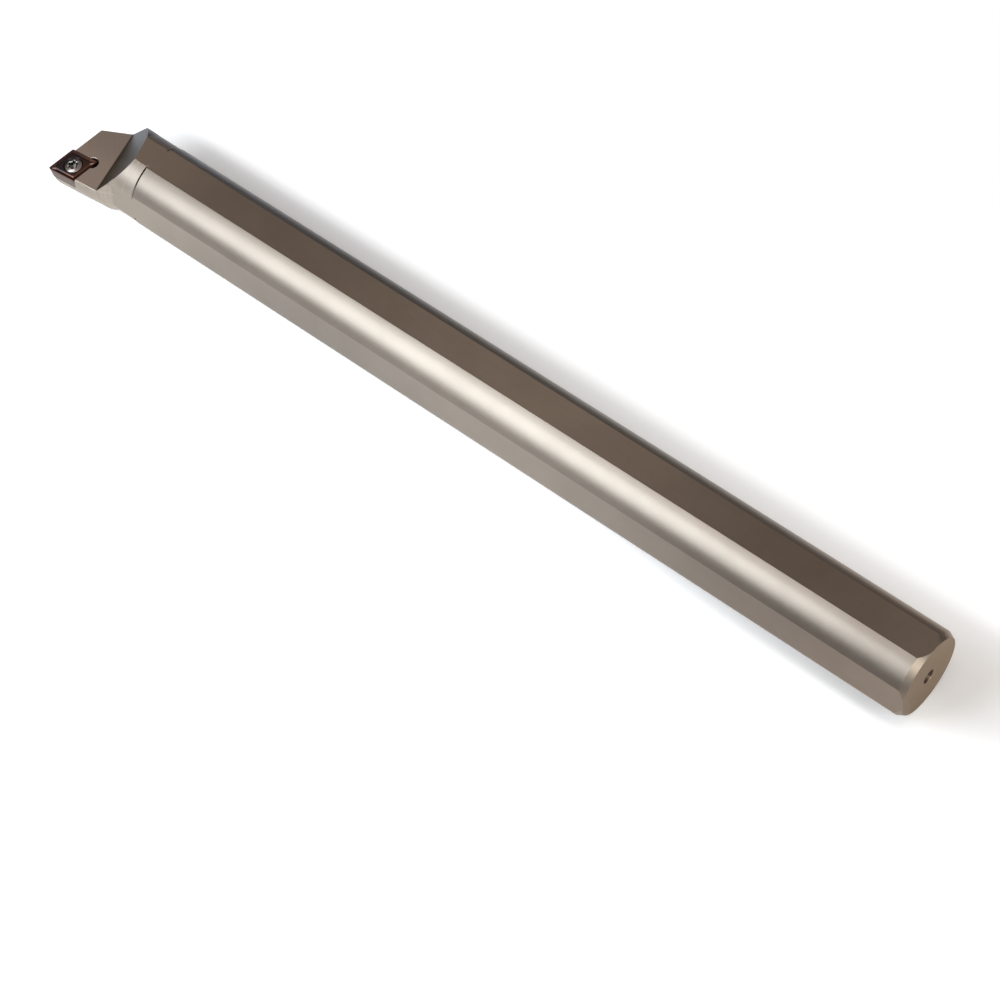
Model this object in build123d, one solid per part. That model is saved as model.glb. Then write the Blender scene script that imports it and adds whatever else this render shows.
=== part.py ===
"""Right-hand indexable boring bar: a round steel shank with a flared head, a screw-clamped
rhombic insert and its screw.

Millimetres. The origin is the centre of the shank's rear face. +X runs along the bar to the
cutting end, +Y points to the side that cuts, and +Z is up, square to the top flat.
"""

from build123d import *
from math import cos, radians, sin, sqrt, tan
import os

INCH = 25.4

# Shank
shank_dia = 1.0 * INCH
overall_length = 12.0 * INCH  # rear face to cutting tip
flat_depth = 1.0  # each flat, below the round of the shank
rear_chamfer_length = 1.9  # along the bar
rear_chamfer_step = 1.0  # in radius
centre_drill_dia = 4.4
centre_drill_angle = 60.0  # full cone
pilot_dia = 1.6
pilot_length = 1.8  # straight part, ahead of the cone
pilot_tip_angle = 118.0

# Neck: from the groove that ends the ground shank to the head
neck_length = 1.25 * INCH  # rear edge of the groove to cutting tip
neck_relief = 0.2  # neck below shank, in radius
groove_width = 0.5
groove_depth = 0.4

# Cutting tip and the insert's attitude
tip_offset = 0.625 * INCH  # tip to bar axis
edge_clearance = 5.0  # side edge to bar axis, and front edge to a square cut
rake_tilt = 7.0  # rake face rises by this from the tip towards the axis

# Insert
insert_circle = 0.375 * INCH  # inscribed circle
insert_angle = 80.0
insert_thickness = 3.97
insert_flank = 7.0
nose_radius = 0.4
insert_hole_dia = 4.4
insert_mouth_dia = 6.0
screw_cone = 60.0  # full cone of the hole's mouth and of the screw's head
land_width = 0.12
groove_floor_inset = 0.85  # edge to the deepest line of the chip groove
island_foot_inset = 1.0
island_top_inset = 1.35
chip_groove_depth = 0.24
island_drop = 0.03  # island below the cutting edge
ridge_width = 0.4
ridge_side_angle = 68.0  # from upright
ridge_nose_gap = 0.75  # end of the corner ridge to the end of the nose

# Screw
screw_dia = 3.5
screw_length = 9.0
screw_neck_dia = 3.0
screw_neck_length = 1.2  # plain neck under the head's cone
screw_head_dia = 5.3
screw_rim_drop = 0.25  # rim of the head below the cutting edge
screw_dome_radius = 6.0
screw_rim_radius = 0.12
screw_tip_chamfer = 0.45
lobe_count = 6
lobe_outer_dia = 3.35
lobe_inner_dia = 2.4
lobe_gap_radius = 0.73
lobe_turn = 20.0  # first lobe to the insert's long diagonal
recess_depth = 1.5  # rim of the head to the recess floor
recess_lead = 0.15  # lead-in at the recess mouth
recess_floor_angle = 140.0

# Head
flare_setback = 0.35  # side of the head inside the insert's side edge
front_setback = 0.8  # front face behind the insert's front edge
flare_length = 19.7  # cutting tip to the rear end of the flare
flare_runout = 2.7
flat_runout_start = 22.6  # cutting tip to the end of the side flat
flat_runout_angle = 25.5
rake_drop = 0.08  # rake face of the bar below the top of the insert
rake_edge_break = 0.35
gullet_start = 11.9  # cutting tip to the gullet wall, at the bar axis
gullet_slope = 45.0
gullet_skew = 22.5
gullet_root_radius = 0.9
back_relief_offset = 3.66  # bar axis to the back relief, at the cutting tip
back_relief_angle = 27.3  # to the bar axis
back_relief_lean = 19.3  # from upright
corner_relief_dia = 4.0
corner_relief_inset = 1.76  # from the insert's sharp corner, along its diagonal
corner_relief_sink = 0.4  # below the pocket floor
corner_relief_chamfer = 0.15
screw_hole_chamfer = 0.4

# Fits
wall_gap = 0.03  # insert to pocket walls
cone_gap = 0.02  # screw head lifted off its cone
thread_gap = 0.02  # screw to tapped hole, in radius

# Worked out from the sizes above
shank_radius = shank_dia / 2
neck_radius = shank_radius - neck_relief
flat_height = shank_radius - flat_depth
screw_radius = screw_dia / 2
screw_neck_radius = screw_neck_dia / 2
head_radius = screw_head_dia / 2
mouth_radius = insert_mouth_dia / 2
cone_slope = tan(radians(screw_cone / 2))
half_angle = radians(insert_angle / 2)
clearance_slope = tan(radians(edge_clearance))

# The rake plane: x from the tip towards the shank, y from the tip towards the bar axis
rake = Plane(
    origin=(overall_length, tip_offset, 0),
    x_dir=(-1, 0, 0),
    z_dir=(0, sin(radians(rake_tilt)), cos(radians(rake_tilt))),
)
nose_centre = Vector(nose_radius, nose_radius)
diagonal_angle = edge_clearance + insert_angle / 2
diagonal = Vector(cos(radians(diagonal_angle)), sin(radians(diagonal_angle)))
sharp_corner = nose_centre - diagonal * (nose_radius / sin(half_angle))


def rhombus_half_diagonal(circle):
    """Half of the long diagonal of the insert's rhombus around an inscribed circle."""
    return circle / sin(2 * half_angle) * cos(half_angle)


def rhombus_half_width(circle):
    """Half of the short diagonal of the same rhombus."""
    return circle / sin(2 * half_angle) * sin(half_angle)


insert_reach = rhombus_half_diagonal(insert_circle)
insert_centre = sharp_corner + diagonal * insert_reach

# The insert's own plane: its top, centred on the hole, x along the long diagonal to the pocket
seat = Plane(rake.location * Location((insert_centre.X, insert_centre.Y, 0), (0, 0, diagonal_angle)))


def from_tip(distance):
    """X of a point that lies this far behind the cutting tip."""
    return overall_length - distance


def block_above(plane):
    """A block that stands on a plane and reaches past the whole bar."""
    side = 3 * overall_length
    return plane * Box(side, side, side, align=(Align.CENTER, Align.CENTER, Align.MIN))


def polygon(*points):
    """A flat face through these corners."""
    return Polygon(*points, align=None)


def rhombus(inset, corner_radius):
    """The insert's outline, moved in by an inset, with rounded corners."""
    circle = insert_circle - 2 * inset
    long_half = rhombus_half_diagonal(circle)
    short_half = rhombus_half_width(circle)
    face = polygon((long_half, 0), (0, short_half), (-long_half, 0), (0, -short_half))
    return fillet(face.vertices(), corner_radius)


def turned(*points):
    """A solid turned about the bar axis from (x, radius) points."""
    return revolve(Plane.XY * polygon(*points), Axis.X)


def turned_on_seat(face, offset=0):
    """A solid turned from (radius, height) about the insert's hole axis, or beside it."""
    return seat * Pos(offset, 0, 0) * revolve(Plane.XZ * face, Axis.Z)


def make_shank():
    """Ground shank with its rear chamfer, the groove and the slimmer neck."""
    groove_rear = from_tip(neck_length)
    groove_front = groove_rear + groove_width
    groove_radius = shank_radius - groove_depth
    return turned(
        (0, 0),
        (0, shank_radius - rear_chamfer_step),
        (rear_chamfer_length, shank_radius),
        (groove_rear, shank_radius),
        (groove_rear, groove_radius),
        (groove_front, groove_radius),
        (groove_front, neck_radius),
        (overall_length, neck_radius),
        (overall_length, 0),
    )


def flare_section(distance, reach):
    """Round section of the flare: it touches the neck's far side and reaches out to the tip side."""
    centre = (reach - neck_radius) / 2
    plane = Plane(origin=(from_tip(distance), centre, 0), z_dir=(1, 0, 0))
    return plane * Circle((reach + neck_radius) / 2)


def flare_reach(distance):
    """Bar axis to the tip side of the flare."""
    return tip_offset - flare_setback - distance * clearance_slope


def make_flare():
    """Eccentric cone that carries the insert, and its short run-out to the neck."""
    front = flare_section(0, flare_reach(0))
    rear = flare_section(flare_length, flare_reach(flare_length))
    end = flare_section(flare_length + flare_runout, neck_radius - neck_relief)
    cone = loft([rear, front], ruled=True)
    runout = loft([end, rear], ruled=True)
    return cone + runout


def make_flats():
    """The stock outside the top and bottom flats, and outside the side flat with its run-out."""
    top = block_above(Plane(origin=(0, 0, flat_height)))
    bottom = block_above(Plane(origin=(0, 0, -flat_height), z_dir=(0, 0, -1)))
    end = from_tip(flat_runout_start)
    rise = shank_radius
    run = rise / tan(radians(flat_runout_angle))
    beside = polygon(
        (-shank_dia, flat_height),
        (end, flat_height),
        (end + run, flat_height + rise),
        (-shank_dia, flat_height + rise),
    )
    side = extrude(beside, shank_dia, both=True)
    return top + bottom + side


def gullet_wall():
    """Plane of the sloped gullet wall, facing the open gullet."""
    slope = radians(gullet_slope)
    skew = radians(gullet_skew)
    facing = (sin(slope) * cos(skew), sin(slope) * sin(skew), cos(slope))
    return Plane(origin=(from_tip(gullet_start), 0, 0), z_dir=facing)


def make_gullet():
    """The space over the rake face and in front of the gullet wall."""
    above_rake = block_above(rake.offset(-rake_drop))
    space = above_rake & block_above(gullet_wall())
    root = space.edges().sort_by_distance((from_tip(gullet_start), 0, 0))[0]
    return fillet(root, gullet_root_radius)


def make_front_cuts():
    """Stock in front of the front face, behind the back relief and along the rake edge."""
    yaw = radians(edge_clearance)
    front_origin = (overall_length - front_setback / cos(yaw), tip_offset, 0)
    front = block_above(Plane(origin=front_origin, z_dir=(cos(yaw), -sin(yaw), 0)))
    angle = radians(back_relief_angle)
    lean = radians(back_relief_lean)
    back_facing = (sin(angle) * cos(lean), -cos(angle) * cos(lean), sin(lean))
    back = block_above(Plane(origin=(overall_length, -back_relief_offset, 0), z_dir=back_facing))
    edge_start = Vector(0, flare_setback + rake_edge_break, -rake_drop)
    outward = Vector(sin(yaw), -cos(yaw), 1)
    edge = Plane(
        origin=rake.from_local_coords(edge_start),
        z_dir=rake.from_local_coords(edge_start + outward) - rake.from_local_coords(edge_start),
    )
    edge_stock = block_above(edge) & block_above(gullet_wall())
    return front + back + edge_stock


def make_pocket():
    """Seat of the insert: a floor and two leaning walls, open to the front and to the side."""
    floor = block_above(seat.offset(-insert_thickness))
    lean = radians(insert_flank)
    walls = []
    for side in (1, -1):
        facing = 180 + side * (90 - insert_angle / 2)
        inward = Vector(cos(radians(facing)), sin(radians(facing)), 0)
        gap = insert_circle / 2 + wall_gap
        foot = seat.from_local_coords(-inward * gap)
        tilted = inward * cos(lean) + Vector(0, 0, sin(lean))
        walls.append(Plane(origin=foot, z_dir=seat.from_local_coords(tilted) - seat.origin))
    pocket = floor
    for wall in walls:
        pocket = pocket & block_above(wall)
    return pocket


def make_corner_relief():
    """Round relief in the pocket's inner corner."""
    radius = corner_relief_dia / 2
    floor = -insert_thickness - corner_relief_sink
    chamfer_foot = -rake_drop - corner_relief_chamfer
    above = insert_thickness
    drill = polygon(
        (0, floor),
        (radius, floor),
        (radius, chamfer_foot),
        (radius + above - chamfer_foot, above),
        (0, above),
    )
    return turned_on_seat(drill, insert_reach - corner_relief_inset)


def make_screw_hole():
    """Tapped hole through the head, with a chamfer at the pocket floor."""
    radius = screw_radius + thread_gap
    top = -insert_thickness
    bottom = -shank_dia
    hole = polygon(
        (0, 0),
        (radius + screw_hole_chamfer, 0),
        (radius + screw_hole_chamfer, top),
        (radius, top - screw_hole_chamfer),
        (radius, bottom),
        (0, bottom),
    )
    return turned_on_seat(hole)


def make_centre_drill():
    """Centre hole of the rear face: a cone with a small drill ahead of it."""
    radius = centre_drill_dia / 2
    pilot_radius = pilot_dia / 2
    cone_end = (radius - pilot_radius) / tan(radians(centre_drill_angle / 2))
    pilot_end = cone_end + pilot_length
    tip = pilot_end + pilot_radius / tan(radians(pilot_tip_angle / 2))
    return turned(
        (0, 0), (0, radius), (cone_end, pilot_radius), (pilot_end, pilot_radius), (tip, 0)
    )


def make_bar_body():
    body = make_shank() + make_flare()
    cuts = (
        make_flats(),
        make_gullet(),
        make_front_cuts(),
        make_pocket(),
        make_corner_relief(),
        make_screw_hole(),
        make_centre_drill(),
    )
    for cut in cuts:
        body = body - cut
    return body


def make_chip_groove():
    """Tray behind the cutting land, around the island and its two corner ridges."""
    floor = -chip_groove_depth
    outer = loft(
        [
            Pos(0, 0, floor) * rhombus(groove_floor_inset, nose_radius / 2),
            rhombus(land_width, nose_radius - land_width),
        ],
        ruled=True,
    )
    island = loft(
        [
            Pos(0, 0, floor) * rhombus(island_foot_inset, nose_radius),
            Pos(0, 0, -island_drop) * rhombus(island_top_inset, nose_radius),
        ],
        ruled=True,
    )
    nose_reach = insert_reach - nose_radius / sin(half_angle) + nose_radius
    ridge = extrude(
        SlotOverall(2 * (nose_reach - ridge_nose_gap), ridge_width),
        -chip_groove_depth,
        dir=(0, 0, 1),
        taper=-ridge_side_angle,
    )
    return outer - island - Pos(0, 0, -island_drop) * ridge


def make_cutting_insert():
    """Rhombic insert with leaning flanks, chip groove and countersunk hole."""
    blank = extrude(
        rhombus(0, nose_radius), -insert_thickness, dir=(0, 0, 1), taper=insert_flank
    )
    insert = seat * (blank - make_chip_groove())
    hole_radius = insert_hole_dia / 2
    mouth_depth = (mouth_radius - hole_radius) / cone_slope
    hole = polygon(
        (0, mouth_depth),
        (mouth_radius, mouth_depth),
        (mouth_radius, 0),
        (hole_radius, -mouth_depth),
        (hole_radius, -2 * insert_thickness),
        (0, -2 * insert_thickness),
    )
    return insert - turned_on_seat(hole)


def six_lobe():
    """Outline of the screw's recess."""
    centre = lobe_inner_dia / 2 + lobe_gap_radius
    half_step = 180 / lobe_count
    gaps = PolarLocations(centre, lobe_count, half_step) * Circle(lobe_gap_radius)
    return Rot(0, 0, lobe_turn) * (Circle(lobe_outer_dia / 2) - gaps)


def dome_drop(radius):
    """How far the domed head has fallen at this distance from its axis."""
    return screw_dome_radius - sqrt(screw_dome_radius**2 - radius**2)


def make_recess(crown):
    """Six-lobe recess below the crown of the head, with a lead-in and a conical floor."""
    outer_radius = lobe_outer_dia / 2
    floor = -screw_rim_drop - recess_depth
    floor_edge = floor + outer_radius / tan(radians(recess_floor_angle / 2))
    limit = polygon(
        (0, floor),
        (outer_radius, floor_edge),
        (outer_radius, recess_depth),
        (0, recess_depth),
    )
    prism = seat * Pos(0, 0, floor) * extrude(six_lobe(), 2 * recess_depth)
    lead_foot = crown - dome_drop(outer_radius) - recess_lead
    lead = Pos(0, 0, lead_foot) * extrude(six_lobe(), 2 * recess_lead, taper=-45)
    return (prism & turned_on_seat(limit)) + seat * lead


def make_insert_screw():
    """Domed head with a conical seat and a six-lobe recess, plain neck and threaded shank."""
    crown = dome_drop(head_radius) - screw_rim_drop
    cone_top = -(mouth_radius - head_radius) / cone_slope + cone_gap
    cone_end = cone_top - (head_radius - screw_neck_radius) / cone_slope
    thread_top = cone_end - screw_neck_length
    tip = crown - screw_length
    step = screw_radius - screw_neck_radius
    blank = polygon(
        (0, crown),
        (head_radius, crown),
        (head_radius, cone_top),
        (screw_neck_radius, cone_end),
        (screw_neck_radius, thread_top),
        (screw_radius, thread_top - step),
        (screw_radius, tip + screw_tip_chamfer),
        (screw_radius - screw_tip_chamfer, tip),
        (0, tip),
    )
    domed = blank & Pos(0, crown - screw_dome_radius) * Circle(screw_dome_radius)
    rim = domed.vertices().sort_by_distance((head_radius, -screw_rim_drop, 0))[0]
    screw = turned_on_seat(fillet(rim, screw_rim_radius))
    return screw - make_recess(crown)


os.makedirs("parts", exist_ok=True)
export_step(make_bar_body(), "parts/bar_body.step")
export_step(make_cutting_insert(), "parts/cutting_insert.step")
export_step(make_insert_screw(), "parts/insert_screw.step")
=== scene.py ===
"""Looks of the indexable boring bar: satin nickel bar, dark coated insert, bright screw."""

from math import cos, pi, radians, sin
from types import SimpleNamespace

import bpy
from mathutils import Matrix, Vector


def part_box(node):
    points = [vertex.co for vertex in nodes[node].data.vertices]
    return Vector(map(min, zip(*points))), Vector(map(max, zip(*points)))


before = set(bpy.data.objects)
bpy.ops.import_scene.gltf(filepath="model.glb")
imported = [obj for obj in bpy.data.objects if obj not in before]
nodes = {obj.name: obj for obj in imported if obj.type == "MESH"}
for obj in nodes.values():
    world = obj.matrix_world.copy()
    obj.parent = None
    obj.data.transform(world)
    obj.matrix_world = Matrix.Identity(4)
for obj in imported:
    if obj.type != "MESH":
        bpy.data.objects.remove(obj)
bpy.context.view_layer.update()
scene = bpy.context.scene

MM = 0.001
WHITE = (1, 1, 1)
bar_low, bar_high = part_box("bar_body")
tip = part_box("cutting_insert")[1] / MM

# Table, in metres
MIDDLE = Vector((0.15, 0, 0))
FLOOR_SIZE = 6
floor_level = bar_low.z

# Places on the bar, in millimetres
NECK_LENGTH = 31.75  # rear edge of the groove to the tip
GROOVE_WIDTH = 0.5
HEAD_LENGTH = 24.8  # flare, its run-out and a little of the neck
groove_start = tip.x - NECK_LENGTH
groove_end = groove_start + GROOVE_WIDTH
head_start = tip.x - HEAD_LENGTH
top_flat = bar_high.z / MM

# Hollows of the bar, in millimetres
GROOVE_RADIUS = 12.3
CENTRE_MARK_RADIUS = 2.2
CENTRE_MARK_DEPTH = 4.7
TAPPED_HOLE_RADIUS = 1.77

# Middle of the curved marks that the milling cutter leaves on rake face and gullet, in millimetres
MILLING_CENTRE = (262.0, -38.0, 0.0)

# Insert and screw, in millimetres; heights count from the top of the insert
INSERT_CIRCLE = 9.525
HALF_ANGLE = radians(40)
NOSE_RADIUS = 0.4
RECESS_RADIUS = 1.7
RAKE_HEIGHT = -0.08
THREAD_TOP = -4.3
THREAD_PITCH = 0.6
THREAD_RISE = 0.3

# The insert's seat, in millimetres: centre of its top, long diagonal, short diagonal, normal
TILT = radians(7)
SEAT_NORMAL = Vector((0, sin(TILT), cos(TILT)))
RAKE_X = Vector((-1, 0, 0))
RAKE_Y = SEAT_NORMAL.cross(RAKE_X)
SEAT_X = (RAKE_X + RAKE_Y).normalized()
SEAT_Y = (RAKE_Y - RAKE_X).normalized()
reach = (INSERT_CIRCLE / 2 - NOSE_RADIUS) / sin(HALF_ANGLE)
SEAT = Vector((tip.x, tip.y, 0)) + NOSE_RADIUS * (RAKE_X + RAKE_Y) + reach * SEAT_X

# Direction that the gullet wall faces
SLOPE = radians(45)
SKEW = radians(22.5)
GULLET_NORMAL = Vector((sin(SLOPE) * cos(SKEW), sin(SLOPE) * sin(SKEW), cos(SLOPE)))

# How squarely one of the bar's flats faces its own way, against the round beside it
FLAT_FACING = (0.994, 0.999)

# Painted reflection: slow lightening and darkening of the bar's colour along its length, up to its head,
# standing in for the studio's reflections: full on the cutting side, squared on the top flat
PAINTED_REFLECTION_WAVE = (0.98, 0.83, 0.99, 1.15, 1.11, 0.99, 0.97, 1.03)

# The same painted reflection and shade on the round of the far side, and weaker beside the top flat's edge
# on the cutting side, where it dims the highlight
FAR_PAINTED_REFLECTION_WAVE = (0.98, 0.82, 0.74, 0.72, 0.60, 0.40, 0.52, 0.88)

# Mirror image of the floor at equal steps along the bar, on its cutting side and on its far side,
# and the length in millimetres that it covers
IMAGE_LENGTH = 350
NEAR_IMAGE = (
    (0.27, 0.16, 0.10),
    (0.14, 0.08, 0.05),
    (0.17, 0.15, 0.15),
    (0.31, 0.28, 0.26),
    (0.16, 0.15, 0.14),
    (0.28, 0.25, 0.23),
    (0.60, 0.55, 0.50),
    (0.62, 0.57, 0.52),
)
FAR_IMAGE = (
    (0.34, 0.20, 0.11),
    (0.29, 0.21, 0.15),
    (0.24, 0.22, 0.20),
    (0.22, 0.22, 0.21),
    (0.10, 0.11, 0.11),
    (0.05, 0.06, 0.07),
    (0.01, 0.08, 0.19),
    (0.00, 0.08, 0.23),
)

# Lamps, in metres: name, place, target, size, radiance, colour
LAMPS = (
    ("key", (0.379, 0.385, 0.366), MIDDLE, (0.42, 0.435), 4.8, (0.865, 0.943, 1.0)),
    ("top", (0.0, 0.14, 0.7), (0.3, 0, 0), (0.26, 0.26), 2.4, (1.0, 0.96, 0.92)),
    ("overhead", (0.36, 0.18, 0.68), (0.3, 0, 0), (0.13, 0.13), 4.2, (1.0, 0.97, 0.94)),
    ("window", (-0.62, 0.31, 0.62), (0, 0, 0), (0.45, 0.5), 2.9, (1.0, 0.92, 0.78)),
)


class Graph:
    """Builds a material's or the world's nodes; positions are in millimetres."""

    def __init__(self, tree):
        self.tree = tree

    def add(self, kind, **settings):
        node = self.tree.nodes.new("ShaderNode" + kind)
        for name, value in settings.items():
            setattr(node, name, value)
        return node

    def wire(self, value, socket):
        """Links a socket to an output, or sets it to a number, a vector or a colour."""
        if isinstance(value, bpy.types.NodeSocket):
            self.tree.links.new(value, socket)
        elif socket.type == "RGBA":
            socket.default_value = (*value, 1)
        else:
            socket.default_value = value

    def math(self, operation, a, b=0.0):
        node = self.add("Math", operation=operation)
        self.wire(a, node.inputs[0])
        self.wire(b, node.inputs[1])
        return node.outputs[0]

    def both(self, *masks):
        """Product of some masks."""
        result = masks[0]
        for mask in masks[1:]:
            result = self.math("MULTIPLY", result, mask)
        return result

    def vector(self, operation, a, b=(0, 0, 0)):
        node = self.add("VectorMath", operation=operation)
        self.wire(a, node.inputs[0])
        self.wire(b, node.inputs[1])
        return node.outputs["Value" if operation in ("DOT_PRODUCT", "LENGTH") else "Vector"]

    def scaled(self, vector, by):
        node = self.add("VectorMath", operation="SCALE")
        self.wire(vector, node.inputs[0])
        self.wire(by, node.inputs["Scale"])
        return node.outputs["Vector"]

    def position(self):
        """Place on the object in the row frame, in millimetres."""
        return self.scaled(self.add("TexCoord").outputs["Object"], 1 / MM)

    def normal(self):
        return self.add("TexCoord").outputs["Normal"]

    def split(self, vector):
        node = self.add("SeparateXYZ")
        self.wire(vector, node.inputs[0])
        return node.outputs["X"], node.outputs["Y"], node.outputs["Z"]

    def join(self, x, y, z):
        node = self.add("CombineXYZ")
        for value, socket in zip((x, y, z), node.inputs):
            self.wire(value, socket)
        return node.outputs[0]

    def on_seat(self):
        """Place along the insert's long diagonal, its short one and its axis."""
        place = self.vector("SUBTRACT", self.position(), tuple(SEAT))
        return [self.vector("DOT_PRODUCT", place, tuple(axis)) for axis in (SEAT_X, SEAT_Y, SEAT_NORMAL)]

    def noise(self, vector, scale=1.0, detail=3.0, roughness=0.6):
        node = self.add("TexNoise")
        self.wire(vector, node.inputs["Vector"])
        node.inputs["Scale"].default_value = scale
        node.inputs["Detail"].default_value = detail
        node.inputs["Roughness"].default_value = roughness
        return node.outputs["Fac"]

    def stretched(self, vector, scales):
        """Noise with a scale of its own along each axis."""
        return self.noise(self.vector("MULTIPLY", vector, scales))

    def rings(self, distance, scale):
        """Noise that depends on one distance alone."""
        return self.noise(self.join(self.math("MULTIPLY", distance, scale), 0, 0))

    def step(self, value, low, high, start=0.0, end=1.0):
        """Smooth change from start to end while value goes from low to high."""
        node = self.add("MapRange", interpolation_type="SMOOTHSTEP")
        self.wire(value, node.inputs["Value"])
        for name, number in zip(("From Min", "From Max", "To Min", "To Max"), (low, high, start, end)):
            node.inputs[name].default_value = number
        return node.outputs["Result"]

    def mix(self, factor, a, b, data_type="RGBA"):
        """Colour between a and b, or a value of another data type."""
        node = self.add("Mix", data_type=data_type)
        self.wire(factor, node.inputs["Factor"])
        self.wire(a, node.inputs["A"])
        self.wire(b, node.inputs["B"])
        return node.outputs["Result"]

    def blend(self, factor, a, b):
        """Number between a and b."""
        return self.mix(factor, a, b, "FLOAT")

    def ramp(self, value, high, colours):
        """Colour that runs through evenly spaced ones while value goes from 0 to high."""
        node = self.add("ValToRGB")
        steps = node.color_ramp
        steps.interpolation = "B_SPLINE"
        steps.elements.remove(steps.elements[1])
        for index, colour in enumerate(colours):
            place = index / (len(colours) - 1)
            stop = steps.elements[0] if index == 0 else steps.elements.new(place)
            stop.position = place
            stop.color = (*colour, 1)
        span = self.add("MapRange")
        self.wire(value, span.inputs["Value"])
        span.inputs["From Max"].default_value = high
        self.wire(span.outputs["Result"], node.inputs["Fac"])
        return node.outputs["Color"]

    def wave(self, value, high, levels):
        """Number that runs through levels up to 2, which are halved because a ramp ends at 1."""
        return self.math("MULTIPLY", 2.0, self.ramp(value, high, [(level / 2,) * 3 for level in levels]))

    def thread(self, along, across, height):
        """Height of a right-hand thread about the insert's axis."""
        turn = self.math("DIVIDE", self.math("ARCTAN2", across, along), 2 * pi)
        phase = self.math("SUBTRACT", self.math("DIVIDE", height, THREAD_PITCH), turn)
        return self.math("PINGPONG", phase, 0.5)

    def bump(self, height, depth):
        """Normal of a relief that is depth millimetres high."""
        node = self.add("Bump")
        node.inputs["Distance"].default_value = depth * MM
        self.wire(height, node.inputs["Height"])
        return node.outputs["Normal"]

    def diffuse(self, colour):
        node = self.add("BsdfDiffuse")
        self.wire(colour, node.inputs["Color"])
        return node.outputs["BSDF"]


def metal(name):
    """A new metallic material with the graph of its tree and its shader."""
    mat = bpy.data.materials.new(name)
    mat.use_nodes = True
    shader = mat.node_tree.nodes["Principled BSDF"]
    shader.inputs["Metallic"].default_value = 1.0
    return mat, Graph(mat.node_tree), shader


def bar_places(g):
    """Place and facing on the bar, in the row frame and about the insert's seat."""
    at = SimpleNamespace(place=g.position(), facing=g.normal())
    at.x, at.y, at.z = g.split(at.place)
    at.nx, at.ny, at.nz = g.split(at.facing)
    at.off_axis = g.vector("LENGTH", g.join(0, at.y, at.z))
    at.along, at.across, at.height = g.on_seat()
    at.off_screw = g.vector("LENGTH", g.join(at.along, at.across, 0))
    return at


def bar_faces(g, at):
    """Masks of the bar's outer faces."""
    on = SimpleNamespace()
    level = g.math("ABSOLUTE", at.nz)
    off_rake = g.math("ABSOLUTE", g.math("SUBTRACT", at.height, RAKE_HEIGHT))
    on.neck = g.step(at.x, groove_end - 0.02, groove_end + 0.02)
    on.side = g.step(at.x, head_start + 4, head_start + 10)
    on.end = g.both(g.step(at.x, 0.3, 0.1), g.step(at.nx, -0.85, -0.95))
    on.flat = g.step(g.math("MAXIMUM", level, at.ny), *FLAT_FACING)
    on.top = g.step(at.nz, *FLAT_FACING)
    on.rake = g.both(g.step(off_rake, 0.25, 0.05), g.step(at.x, head_start, head_start + 2))
    on.gullet = g.step(g.vector("DOT_PRODUCT", at.facing, tuple(GULLET_NORMAL)), 0.97, 0.995)
    off_side_flat = g.math("MAXIMUM", g.step(at.ny, *reversed(FLAT_FACING)), on.side)
    on.turned_neck = g.both(on.neck, off_side_flat, g.step(level, *reversed(FLAT_FACING)))
    on.coarse = g.math("MAXIMUM", on.turned_neck, on.end)
    return on


def bar_hollows(g, at):
    """Masks of the groove where it lies in shade, of the gullet's root and of the holes."""
    hollow = SimpleNamespace()
    hollow.groove = g.both(
        g.step(at.x, groove_start - 0.16, groove_start - 0.06),
        g.step(at.x, groove_end + 0.04, groove_end + 0.01),
        g.step(at.off_axis, GROOVE_RADIUS - 0.1, GROOVE_RADIUS - 0.05),
        g.step(at.y, -2, 2),
        g.step(at.z, 5.5, 9),
        g.step(at.z, top_flat - 0.05, top_flat - 0.35),
    )
    # Painted shade in the crease at the gullet's root
    hollow.gullet_root = g.both(
        g.step(at.height, -0.06, 0.05),
        g.step(at.height, 1.1, 0.3),
        g.step(at.x, head_start, head_start + 4),
        g.step(at.nx, 0.1, 0.3),
        g.step(at.ny, -0.4, -0.1),
    )
    # Painted shade inside the centre mark
    hollow.centre_mark = g.both(
        g.step(at.off_axis, CENTRE_MARK_RADIUS + 0.1, CENTRE_MARK_RADIUS - 0.1),
        g.step(at.x, CENTRE_MARK_DEPTH + 3, CENTRE_MARK_DEPTH + 1),
        g.step(at.x, 0.02, 0.15),
    )
    hollow.tapped_hole = g.both(
        g.step(at.off_screw, TAPPED_HOLE_RADIUS + 0.13, TAPPED_HOLE_RADIUS + 0.08),
        g.step(at.height, THREAD_TOP, THREAD_TOP - 0.1),
    )
    return hollow


def machining_marks(g, at, on):
    """Grinding round the shank and along the flats, turning on neck and end, milling on the head."""
    ground = g.stretched(at.place, (5.0, 0.35, 0.35))
    ground_flat = g.stretched(at.place, (0.25, 4.5, 4.5))
    turned = g.stretched(at.place, (2.4, 0.12, 0.12))
    faced = g.rings(at.off_axis, 4.0)
    sweep = g.vector("LENGTH", g.vector("SUBTRACT", at.place, MILLING_CENTRE))
    milled = g.rings(sweep, 3.2)
    marks = g.blend(on.neck, ground, turned)
    marks = g.blend(on.flat, marks, ground_flat)
    marks = g.blend(on.end, marks, faced)
    return g.blend(g.math("MAXIMUM", on.rake, on.gullet), marks, milled)


def painted_reflection_along_bar(g, at, on):
    """Painted reflection: slow change of the bar's lightness along its length, in place of its
    reflections.
    """
    wave = g.wave(at.x, head_start, PAINTED_REFLECTION_WAVE)
    wave = g.math("POWER", wave, g.math("ADD", g.step(at.ny, 0.75, 0.85), g.math("MULTIPLY", 2.0, on.top)))
    far_painted_wave = g.wave(at.x, head_start, FAR_PAINTED_REFLECTION_WAVE)
    painted_beside_top = g.both(g.step(at.ny, 0.36, 0.40), g.step(at.ny, 0.52, 0.41, 0.0, 0.25))
    far_painted_wave = g.math("POWER", far_painted_wave, g.math("ADD", g.step(at.ny, -0.40, -0.60), painted_beside_top))
    return g.both(wave, far_painted_wave)


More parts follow.
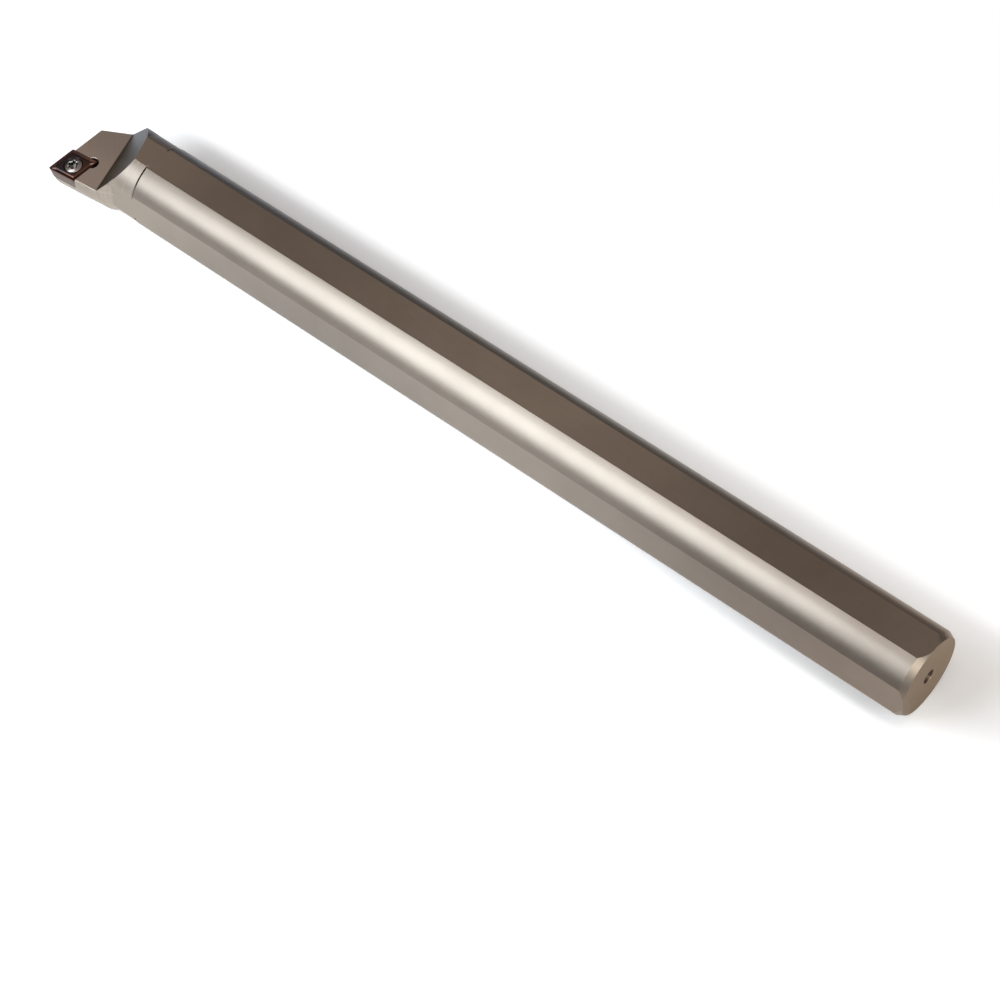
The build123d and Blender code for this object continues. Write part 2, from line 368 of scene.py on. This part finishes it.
def nickel_tone_and_painted_light(g, at, on, hollow):
    """Colour of the finish on each face, with painted light and shade on some faces and in some hollows.
    """
    cloud = g.noise(at.place, 0.07, 3.0, 0.55)
    tone = g.mix(g.step(cloud, 0.3, 0.7), (0.300, 0.264, 0.228), (0.322, 0.284, 0.246))
    # Painted reflection: the top flat is lighter towards the head
    painted_top_sheen = g.both(on.top, g.step(at.x, head_start - 40, head_start + 2))
    neck_tone = g.mix(on.side, (0.385, 0.342, 0.297), (0.318, 0.280, 0.240))
    # Rake face tone, painted lighter towards the cutting side as a highlight along its near edge
    rake_tone_and_painted_sheen = g.mix(g.step(at.y, -4, 9), (0.390, 0.340, 0.305), (0.462, 0.396, 0.350))
    # Painted shade: the gullet wall is dark, and darker towards the cutting side
    gullet_painted_shade = g.mix(g.step(at.y, 2, -8), (0.128, 0.106, 0.074), (0.240, 0.210, 0.170))
    layers = (
        # painted reflection on the top flat near the head
        (painted_top_sheen, (0.385, 0.336, 0.288)),
        (on.turned_neck, neck_tone),
        # rake face, with a painted highlight towards the cutting side
        (on.rake, rake_tone_and_painted_sheen),
        # painted shade on the gullet wall
        (on.gullet, gullet_painted_shade),
        # painted shade in the gullet's root
        (hollow.gullet_root, (0.090, 0.072, 0.057)),
        (on.end, (0.232, 0.200, 0.155)),
        # painted shade inside the centre mark
        (hollow.centre_mark, (0.085, 0.066, 0.048)),
        (hollow.groove, (0.016, 0.013, 0.011)),
    )
    for mask, colour in layers:
        tone = g.mix(mask, tone, colour)
    return tone


def satin_nickel():
    """Ground, turned and milled steel under a satin nickel finish."""
    mat, g, shader = metal("satin_nickel")
    at = bar_places(g)
    on = bar_faces(g, at)
    hollow = bar_hollows(g, at)
    marks = machining_marks(g, at, on)

    streak = g.both(g.step(marks, 0.25, 0.75, -1.0, 1.0), g.blend(on.coarse, 0.025, 0.085))
    # Real machining streaks, times the painted reflection along the bar
    marks_and_painted_reflection = g.both(g.math("ADD", 1.0, streak), painted_reflection_along_bar(g, at, on))
    g.wire(g.scaled(nickel_tone_and_painted_light(g, at, on, hollow), marks_and_painted_reflection), shader.inputs["Base Color"])

    rough = g.step(marks, 0.2, 0.8, 0.36, 0.41)
    rough = g.blend(on.turned_neck, rough, g.step(marks, 0.2, 0.8, 0.40, 0.48))
    rough = g.blend(on.gullet, rough, 0.38)
    rough = g.blend(hollow.groove, rough, 0.80)
    g.wire(rough, shader.inputs["Roughness"])

    depth = 0.010
    grain = g.noise(g.scaled(at.place, 3.5))
    relief = g.math("MULTIPLY", marks, g.blend(on.coarse, 0.5, 2.4))
    relief = g.math("ADD", relief, g.math("MULTIPLY", grain, 0.5))
    thread = g.math("MULTIPLY", g.thread(at.along, at.across, at.height), -THREAD_RISE / depth)
    relief = g.math("ADD", relief, g.both(thread, hollow.tapped_hole))
    g.wire(g.bump(relief, depth), shader.inputs["Normal"])
    return mat


def insert_coating():
    """Carbide under a dark violet coating that runs to red brown at the edges, painted warmer towards one
    side as a reflection and lighter on the corner ridges as a highlight.
    """
    mat, g, shader = metal("insert_coating")
    along, across, height = g.on_seat()
    up = g.vector("DOT_PRODUCT", g.normal(), tuple(SEAT_NORMAL))
    cornerward = g.math("ABSOLUTE", along)
    edgeward = g.math("MULTIPLY", cornerward, sin(HALF_ANGLE))
    sideward = g.math("MULTIPLY", g.math("ABSOLUTE", across), cos(HALF_ANGLE))
    inset = g.math("SUBTRACT", INSERT_CIRCLE / 2, g.math("ADD", edgeward, sideward))
    # Painted reflection: the insert's colour runs warmer towards one side
    painted_warm_side = g.step(g.math("SUBTRACT", along, g.math("MULTIPLY", across, 1.6)), -3.0, 7.0)
    on_edge = g.step(inset, 1.5, 0.3)
    on_flank = g.step(up, 0.6, 0.3)
    # Painted highlight on the corner ridges
    painted_ridge_highlight = g.both(g.step(cornerward, 5.0, 5.5), g.step(inset, 0.3, 0.5), g.step(up, 0.6, 0.9))

    tone = g.mix(painted_warm_side, (0.060, 0.050, 0.060), (0.100, 0.056, 0.047))
    rim = g.mix(painted_warm_side, (0.075, 0.040, 0.036), (0.130, 0.060, 0.036))
    flank = g.mix(g.step(height, -2.2, -0.3), (0.092, 0.078, 0.074), (0.080, 0.046, 0.032))
    for mask, colour in ((on_edge, rim), (on_flank, flank), (painted_ridge_highlight, (0.150, 0.092, 0.076))):
        tone = g.mix(mask, tone, colour)
    grain = g.noise(g.scaled(g.position(), 6))
    g.wire(g.scaled(tone, g.step(grain, 0.25, 0.75, 0.9, 1.1)), shader.inputs["Base Color"])
    g.wire((0.90, 0.84, 0.83), shader.inputs["Specular Tint"])
    g.wire(g.step(grain, 0.2, 0.8, 0.24, 0.34), shader.inputs["Roughness"])
    g.wire(g.bump(grain, 0.006), shader.inputs["Normal"])
    return mat


def screw_steel():
    """Bright turned steel, with painted shade inside the recess."""
    mat, g, shader = metal("screw_steel")
    along, across, height = g.on_seat()
    off_axis = g.vector("LENGTH", g.join(along, across, 0))
    rings = g.rings(off_axis, 5.0)
    # Painted shade: dark inside the recess
    recess_shade = g.both(g.step(height, 0.02, -0.25), g.step(off_axis, RECESS_RADIUS + 0.15, RECESS_RADIUS))
    tone = g.mix(rings, (0.31, 0.303, 0.298), (0.38, 0.371, 0.364))
    g.wire(g.mix(recess_shade, tone, (0.13, 0.127, 0.125)), shader.inputs["Base Color"])
    g.wire(g.step(rings, 0.2, 0.8, 0.20, 0.28), shader.inputs["Roughness"])

    depth = 0.006
    on_thread = g.step(height, THREAD_TOP, THREAD_TOP - 0.2)
    thread = g.math("MULTIPLY", g.thread(along, across, height), THREAD_RISE / depth)
    g.wire(g.bump(g.math("ADD", rings, g.both(thread, on_thread)), depth), shader.inputs["Normal"])
    return mat


def dress(node, mat):
    mesh = nodes[node].data
    mesh.materials.clear()
    mesh.materials.append(mat)


def seen_rays(g):
    """The camera's rays, and the mirrored and refracted ones."""
    rays = g.add("LightPath")
    mirrored = g.math("MAXIMUM", rays.outputs["Is Glossy Ray"], rays.outputs["Is Transmission Ray"])
    return rays.outputs["Is Camera Ray"], mirrored


def floor_lift(g, x, y):
    """How much whiter the camera sees the floor than its lamps make it."""
    off_middle = g.vector("LENGTH", g.vector("SUBTRACT", g.join(x, y, 0), tuple(MIDDLE / MM)))
    outward = g.step(off_middle, 190, 450, 0.45, 1.0)
    cutting_side = g.both(g.step(y, 5, 8), g.step(x, 60, 130, 0.0, 0.14))
    return g.math("ADD", outward, cutting_side)


def far_shadow(g, x, y):
    """Depth of the shadow along the bar's far side, deeper towards the tip."""
    across = g.both(g.step(y, -35, -27), g.step(y, 10, -8))
    return g.both(across, g.step(x, -50, -10), g.step(x, 305, 280), g.step(x, 0, 290, 0.19, 0.44))


def contact_shadow(g, x, y):
    """Depth of the soft shadow along the cutting side of the shank's rear part."""
    across = g.both(g.step(y, 14, 10), g.step(y, 4, 9))
    return g.both(across, g.step(x, -8, 14), g.step(x, 110, 5, 0, 0.35))


def mirror_fade(g, x, y):
    """How much of the floor's mirror image is dimmed, away from the bar on either side."""
    tipward = g.step(x, 60, 160, 0, 100)
    near = g.step(g.math("SUBTRACT", y, tipward), 0, 140, 0.0, 0.9)
    return g.math("MAXIMUM", g.step(y, -40, -230, 0.0, 0.9), near)


def floor_white():
    """White table, lifted where it is seen or mirrored; its mirror image fades away from the bar."""
    mat = bpy.data.materials.new("floor_white")
    mat.use_nodes = True
    mat.node_tree.nodes.clear()
    g = Graph(mat.node_tree)
    camera_ray, mirrored = seen_rays(g)
    x, y, _ = g.split(g.scaled(g.add("NewGeometry").outputs["Position"], 1 / MM))

    near, far = (g.ramp(x, IMAGE_LENGTH, colours) for colours in (NEAR_IMAGE, FAR_IMAGE))
    image = g.mix(g.step(y, -20, 15), far, near)
    white = g.both(g.math("SUBTRACT", floor_lift(g, x, y), far_shadow(g, x, y)), camera_ray)
    glow = g.add("Emission")
    g.wire(g.mix(camera_ray, image, WHITE), glow.inputs["Color"])
    g.wire(g.math("ADD", white, mirrored), glow.inputs["Strength"])
    lit = g.add("AddShader")
    g.wire(g.diffuse((0.80, 0.85, 0.90)), lit.inputs[0])
    g.wire(glow.outputs[0], lit.inputs[1])

    faded = g.both(mirrored, mirror_fade(g, x, y))
    shaded = g.both(camera_ray, contact_shadow(g, x, y))
    shown = g.add("MixShader")
    g.wire(g.math("ADD", faded, shaded), shown.inputs[0])
    g.wire(lit.outputs[0], shown.inputs[1])
    g.wire(g.diffuse((0.085, 0.060, 0.043)), shown.inputs[2])
    g.wire(shown.outputs[0], g.add("OutputMaterial").inputs["Surface"])
    return mat


def make_floor():
    bpy.ops.mesh.primitive_plane_add(size=FLOOR_SIZE, location=(MIDDLE.x, MIDDLE.y, floor_level))
    floor = bpy.context.object
    floor.name = "floor"
    floor.data.materials.append(floor_white())


def make_world():
    """Dim studio above the table, with a white backdrop and a pale card at the horizon."""
    world = bpy.data.worlds.new("studio")
    scene.world = world
    world.use_nodes = True
    g = Graph(world.node_tree)
    camera_ray, mirrored = seen_rays(g)
    ray = g.add("TexCoord").outputs["Generated"]
    x, _, z = g.split(ray)
    horizon, zenith = (0.030, 0.017, 0.010), (0.505, 0.411, 0.353)
    room = g.mix(g.math("POWER", g.math("MAXIMUM", z, 0.0), 1.3), horizon, zenith)
    card = g.step(g.vector("DOT_PRODUCT", ray, (0.401, 0.915, 0.050)), 0.988, 0.999)
    room = g.mix(g.both(card, mirrored), room, (0.90, 0.87, 0.82))
    backdrop = g.both(mirrored, g.step(x, -0.35, -0.75))
    background = world.node_tree.nodes["Background"]
    g.wire(g.mix(g.math("MAXIMUM", camera_ray, backdrop), room, WHITE), background.inputs["Color"])


def softbox(name, place, target, size, radiance, colour):
    """Rectangular lamp of an even radiance, facing its target."""
    data = bpy.data.lights.new(name, "AREA")
    data.shape = "RECTANGLE"
    data.size, data.size_y = size
    data.energy = radiance * pi * size[0] * size[1]
    data.color = colour
    lamp = bpy.data.objects.new(name, data)
    scene.collection.objects.link(lamp)
    lamp.location = place
    lamp.rotation_euler = (Vector(target) - Vector(place)).to_track_quat("-Z", "Y").to_euler()


def make_camera(place, look, up, lens):
    data = bpy.data.cameras.new("camera")
    data.sensor_width = 36
    data.lens = lens
    camera = bpy.data.objects.new("camera", data)
    scene.collection.objects.link(camera)
    look = look.normalized()
    right = look.cross(up).normalized()
    turn = Matrix((right, right.cross(look), -look)).transposed().to_4x4()
    camera.matrix_world = Matrix.Translation(place) @ turn
    scene.camera = camera


dress("bar_body", satin_nickel())
dress("cutting_insert", insert_coating())
dress("insert_screw", screw_steel())
make_floor()
make_world()
for lamp in LAMPS:
    softbox(*lamp)
make_camera(
    place=Vector((-0.1668, 0.3681, 0.5586)),
    look=Vector((0.40180, -0.47803, -0.78106)),
    up=Vector((0.50302, -0.59751, 0.62446)),
    lens=96.065,
)

scene.view_settings.view_transform = "Standard"
